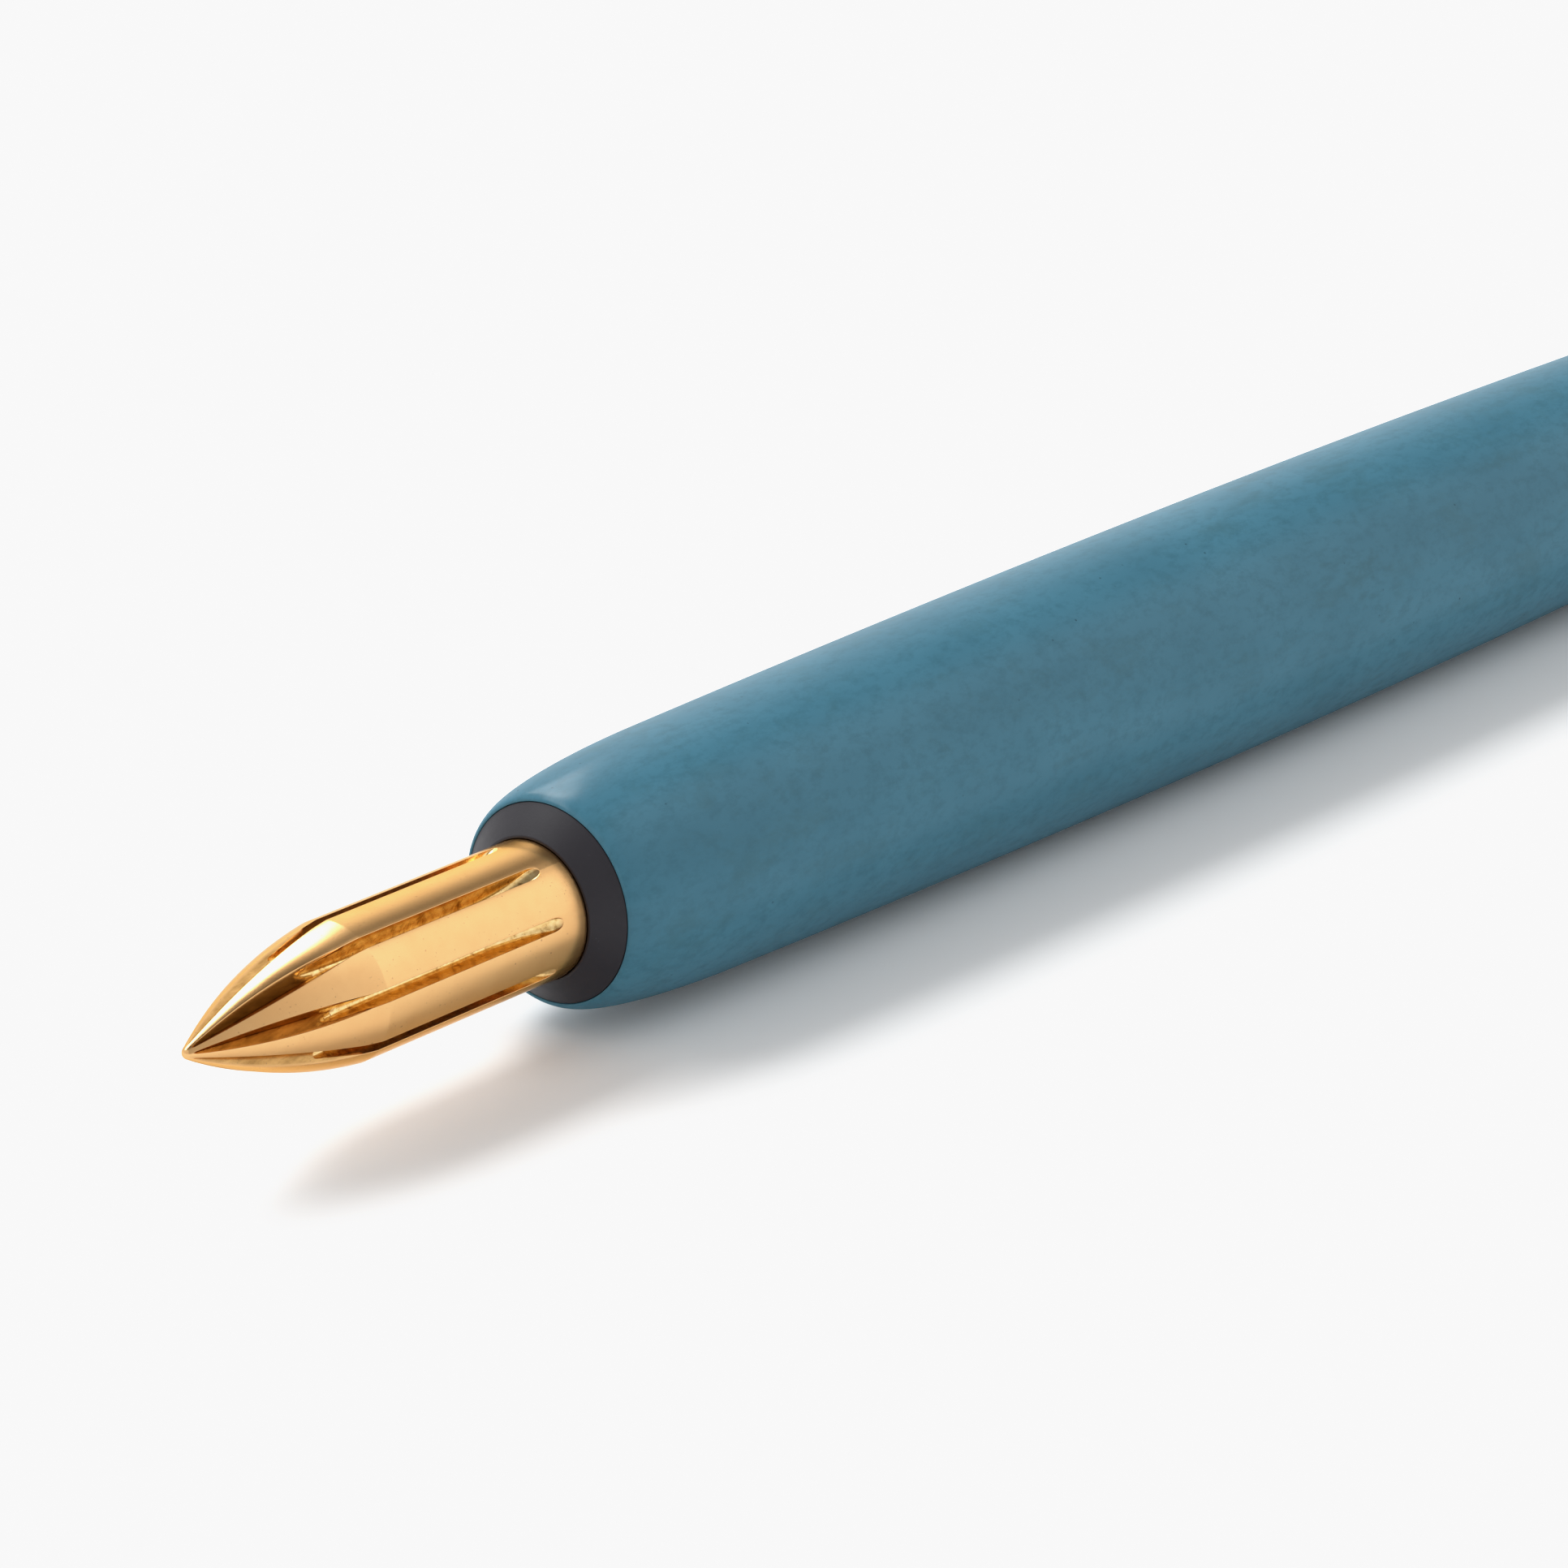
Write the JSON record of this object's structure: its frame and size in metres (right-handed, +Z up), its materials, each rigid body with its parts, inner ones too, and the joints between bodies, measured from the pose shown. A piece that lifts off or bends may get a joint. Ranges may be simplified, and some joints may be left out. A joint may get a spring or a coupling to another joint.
{
  "type": "dip pen",
  "caption": "Dip pen: torpedo-shaped satin blue holder, dark collar with a conical nose, and a solid fluted brass nib that pulls out of the collar.",
  "frame": {"origin": "on the surface the pen lies on, under the middle of its length", "axes": "+X along the pen from nib to rear end, +Z up"},
  "size_m": [0.157, 0.0128, 0.0128],
  "materials": {
    "brass": "turned and milled, lightly handled satin polish",
    "dark_moulding": "matte moulded, aubergine grey",
    "spring_steel": "rolled strip",
    "black_moulding": "matte moulded",
    "blue_lacquer": "satin petrol-blue lacquer over turned wood"
  },
  "bodies": {
    "holder": {"holder_body": "blue_lacquer", "collar": "dark_moulding", "clamp_sleeve": "spring_steel", "petal_core": "black_moulding"},
    "nib": {"nib": "brass"}
  },
  "joints": [
    {"name": "nib_pull", "type": "slide", "parent": "holder", "child": "nib", "axis": [-1, 0, 0], "range_m": [0, 0.016]}
  ]
}
